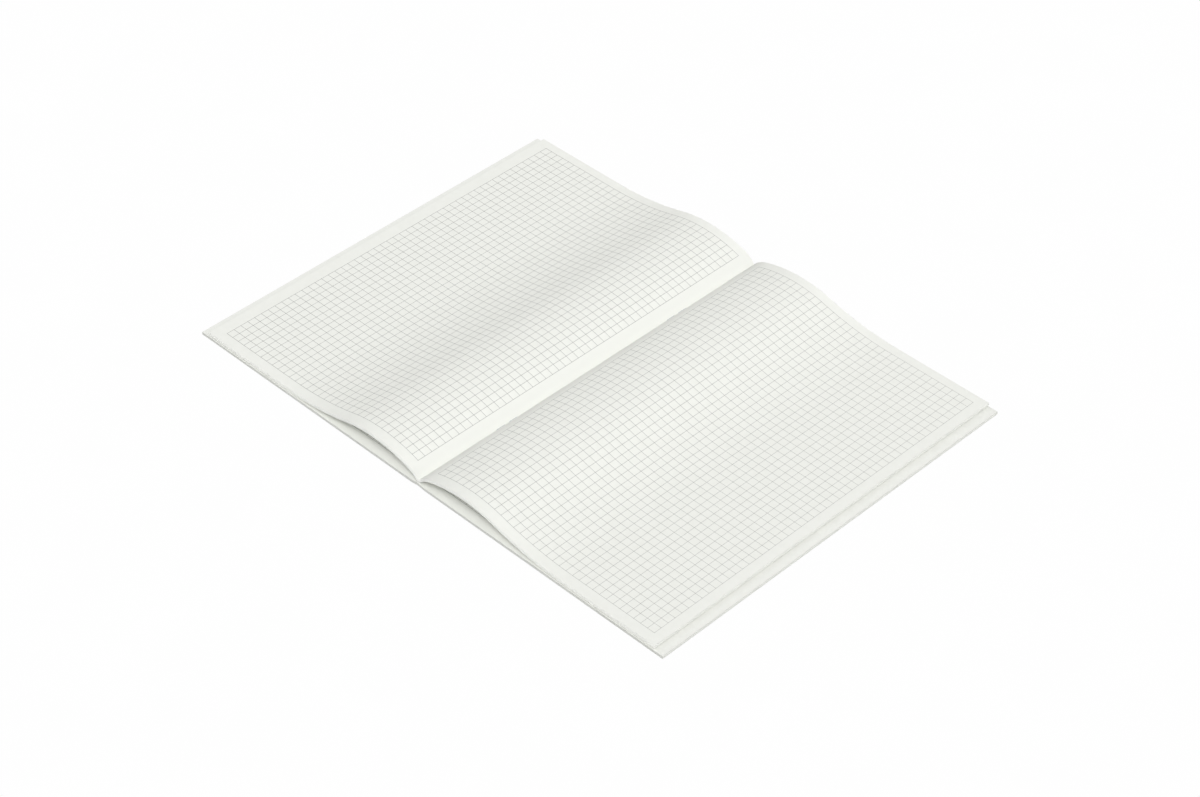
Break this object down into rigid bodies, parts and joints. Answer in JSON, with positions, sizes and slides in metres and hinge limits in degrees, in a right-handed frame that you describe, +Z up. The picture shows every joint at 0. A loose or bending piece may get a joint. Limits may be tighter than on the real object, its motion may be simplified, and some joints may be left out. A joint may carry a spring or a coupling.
{
  "type": "stapled exercise book",
  "caption": "Open saddle-stapled exercise book: card cover, nested folded sheets with squared pages that arch at the gutter, wire staples at the fold",
  "frame": {"origin": "on the surface that the book rests on, under the middle of the fold", "axes": "+X from the fold to the right-hand fore-edge, +Y up the page along the fold, +Z up"},
  "size_m": [0.288, 0.21, 0.0117],
  "materials": {
    "cover_card": "uncoated off-white card",
    "page_paper": "uncoated white writing paper with a pale grey squared print",
    "staple_wire": "bright galvanised wire"
  },
  "bodies": {
    "back_half": {"back_cover": "cover_card", "sheet_01_back_leaf": "page_paper", "sheet_02_back_leaf": "page_paper", "sheet_03_back_leaf": "page_paper", "sheet_04_back_leaf": "page_paper", "sheet_05_back_leaf": "page_paper", "sheet_06_back_leaf": "page_paper", "sheet_07_back_leaf": "page_paper", "sheet_08_back_leaf": "page_paper", "sheet_09_back_leaf": "page_paper", "sheet_10_back_leaf": "page_paper", "sheet_11_back_leaf": "page_paper", "sheet_12_back_leaf": "page_paper", "sheet_13_back_leaf": "page_paper", "sheet_14_back_leaf": "page_paper", "sheet_15_back_leaf": "page_paper", "sheet_16_back_leaf": "page_paper"},
    "front_cover": {"front_cover": "cover_card"},
    "sheet_01_front_leaf": {"sheet_01_front_leaf": "page_paper"},
    "sheet_02_front_leaf": {"sheet_02_front_leaf": "page_paper"},
    "sheet_03_front_leaf": {"sheet_03_front_leaf": "page_paper"},
    "sheet_04_front_leaf": {"sheet_04_front_leaf": "page_paper"},
    "sheet_05_front_leaf": {"sheet_05_front_leaf": "page_paper"},
    "sheet_06_front_leaf": {"sheet_06_front_leaf": "page_paper"},
    "sheet_07_front_leaf": {"sheet_07_front_leaf": "page_paper"},
    "sheet_08_front_leaf": {"sheet_08_front_leaf": "page_paper"},
    "sheet_09_front_leaf": {"sheet_09_front_leaf": "page_paper"},
    "sheet_10_front_leaf": {"sheet_10_front_leaf": "page_paper"},
    "sheet_11_front_leaf": {"sheet_11_front_leaf": "page_paper"},
    "sheet_12_front_leaf": {"sheet_12_front_leaf": "page_paper"},
    "sheet_13_front_leaf": {"sheet_13_front_leaf": "page_paper"},
    "sheet_14_front_leaf": {"sheet_14_front_leaf": "page_paper"},
    "sheet_15_front_leaf": {"sheet_15_front_leaf": "page_paper"},
    "sheet_16_front_leaf": {"sheet_16_front_leaf": "page_paper"},
    "staples": {"upper_staple": "staple_wire", "lower_staple": "staple_wire"}
  },
  "joints": [
    {"name": "front_cover_close", "type": "hinge", "parent": "back_half", "child": "front_cover", "pos_m": [0, 0, 0.00245], "axis": [0, 1, 0], "range_deg": [0, 180], "deforming": ["sheet_09_front_leaf", "sheet_09_back_leaf", "sheet_10_front_leaf", "sheet_10_back_leaf", "sheet_11_front_leaf", "sheet_11_back_leaf", "sheet_12_front_leaf", "sheet_12_back_leaf", "sheet_13_front_leaf", "sheet_13_back_leaf", "sheet_14_front_leaf", "sheet_14_back_leaf", "sheet_15_front_leaf", "sheet_15_back_leaf", "sheet_16_front_leaf", "sheet_16_back_leaf"]},
    {"name": "sheet_01_leaf_turn", "type": "hinge", "parent": "back_half", "child": "sheet_01_front_leaf", "pos_m": [0, 0, 0.00245], "axis": [0, 1, 0], "range_deg": [0, 180]},
    {"name": "sheet_02_leaf_turn", "type": "hinge", "parent": "back_half", "child": "sheet_02_front_leaf", "pos_m": [0, 0, 0.00245], "axis": [0, 1, 0], "range_deg": [0, 180]},
    {"name": "sheet_03_leaf_turn", "type": "hinge", "parent": "back_half", "child": "sheet_03_front_leaf", "pos_m": [0, 0, 0.00245], "axis": [0, 1, 0], "range_deg": [0, 180]},
    {"name": "sheet_04_leaf_turn", "type": "hinge", "parent": "back_half", "child": "sheet_04_front_leaf", "pos_m": [0, 0, 0.00245], "axis": [0, 1, 0], "range_deg": [0, 180]},
    {"name": "sheet_05_leaf_turn", "type": "hinge", "parent": "back_half", "child": "sheet_05_front_leaf", "pos_m": [0, 0, 0.00245], "axis": [0, 1, 0], "range_deg": [0, 180]},
    {"name": "sheet_06_leaf_turn", "type": "hinge", "parent": "back_half", "child": "sheet_06_front_leaf", "pos_m": [0, 0, 0.00245], "axis": [0, 1, 0], "range_deg": [0, 180]},
    {"name": "sheet_07_leaf_turn", "type": "hinge", "parent": "back_half", "child": "sheet_07_front_leaf", "pos_m": [0, 0, 0.00245], "axis": [0, 1, 0], "range_deg": [0, 180]},
    {"name": "sheet_08_leaf_turn", "type": "hinge", "parent": "back_half", "child": "sheet_08_front_leaf", "pos_m": [0, 0, 0.00245], "axis": [0, 1, 0], "range_deg": [0, 180]},
    {"name": "sheet_09_leaf_turn", "type": "hinge", "parent": "back_half", "child": "sheet_09_front_leaf", "pos_m": [0, 0, 0.00245], "axis": [0, 1, 0], "range_deg": [0, 180]},
    {"name": "sheet_10_leaf_turn", "type": "hinge", "parent": "back_half", "child": "sheet_10_front_leaf", "pos_m": [0, 0, 0.00245], "axis": [0, 1, 0], "range_deg": [0, 180]},
    {"name": "sheet_11_leaf_turn", "type": "hinge", "parent": "back_half", "child": "sheet_11_front_leaf", "pos_m": [0, 0, 0.00245], "axis": [0, 1, 0], "range_deg": [0, 180]},
    {"name": "sheet_12_leaf_turn", "type": "hinge", "parent": "back_half", "child": "sheet_12_front_leaf", "pos_m": [0, 0, 0.00245], "axis": [0, 1, 0], "range_deg": [0, 180]},
    {"name": "sheet_13_leaf_turn", "type": "hinge", "parent": "back_half", "child": "sheet_13_front_leaf", "pos_m": [0, 0, 0.00245], "axis": [0, 1, 0], "range_deg": [0, 180]},
    {"name": "sheet_14_leaf_turn", "type": "hinge", "parent": "back_half", "child": "sheet_14_front_leaf", "pos_m": [0, 0, 0.00245], "axis": [0, 1, 0], "range_deg": [0, 180]},
    {"name": "sheet_15_leaf_turn", "type": "hinge", "parent": "back_half", "child": "sheet_15_front_leaf", "pos_m": [0, 0, 0.00245], "axis": [0, 1, 0], "range_deg": [0, 180]},
    {"name": "sheet_16_leaf_turn", "type": "hinge", "parent": "back_half", "child": "sheet_16_front_leaf", "pos_m": [0, 0, 0.00245], "axis": [0, 1, 0], "range_deg": [0, 180]},
    {"name": "staples_turn", "type": "hinge", "parent": "back_half", "child": "staples", "pos_m": [0, 0, 0.00245], "axis": [0, 1, 0], "range_deg": [0, 90]}
  ],
  "couplings": [
    {"joint": "sheet_01_leaf_turn", "follows": "front_cover_close", "ratio": 1},
    {"joint": "sheet_02_leaf_turn", "follows": "front_cover_close", "ratio": 1},
    {"joint": "sheet_03_leaf_turn", "follows": "front_cover_close", "ratio": 1},
    {"joint": "sheet_04_leaf_turn", "follows": "front_cover_close", "ratio": 1},
    {"joint": "sheet_05_leaf_turn", "follows": "front_cover_close", "ratio": 1},
    {"joint": "sheet_06_leaf_turn", "follows": "front_cover_close", "ratio": 1},
    {"joint": "sheet_07_leaf_turn", "follows": "front_cover_close", "ratio": 1},
    {"joint": "sheet_08_leaf_turn", "follows": "front_cover_close", "ratio": 1},
    {"joint": "sheet_09_leaf_turn", "follows": "front_cover_close", "ratio": 1},
    {"joint": "sheet_10_leaf_turn", "follows": "front_cover_close", "ratio": 1},
    {"joint": "sheet_11_leaf_turn", "follows": "front_cover_close", "ratio": 1},
    {"joint": "sheet_12_leaf_turn", "follows": "front_cover_close", "ratio": 1},
    {"joint": "sheet_13_leaf_turn", "follows": "front_cover_close", "ratio": 1},
    {"joint": "sheet_14_leaf_turn", "follows": "front_cover_close", "ratio": 1},
    {"joint": "sheet_15_leaf_turn", "follows": "front_cover_close", "ratio": 1},
    {"joint": "sheet_16_leaf_turn", "follows": "front_cover_close", "ratio": 1},
    {"joint": "staples_turn", "follows": "front_cover_close", "ratio": 0.5}
  ]
}
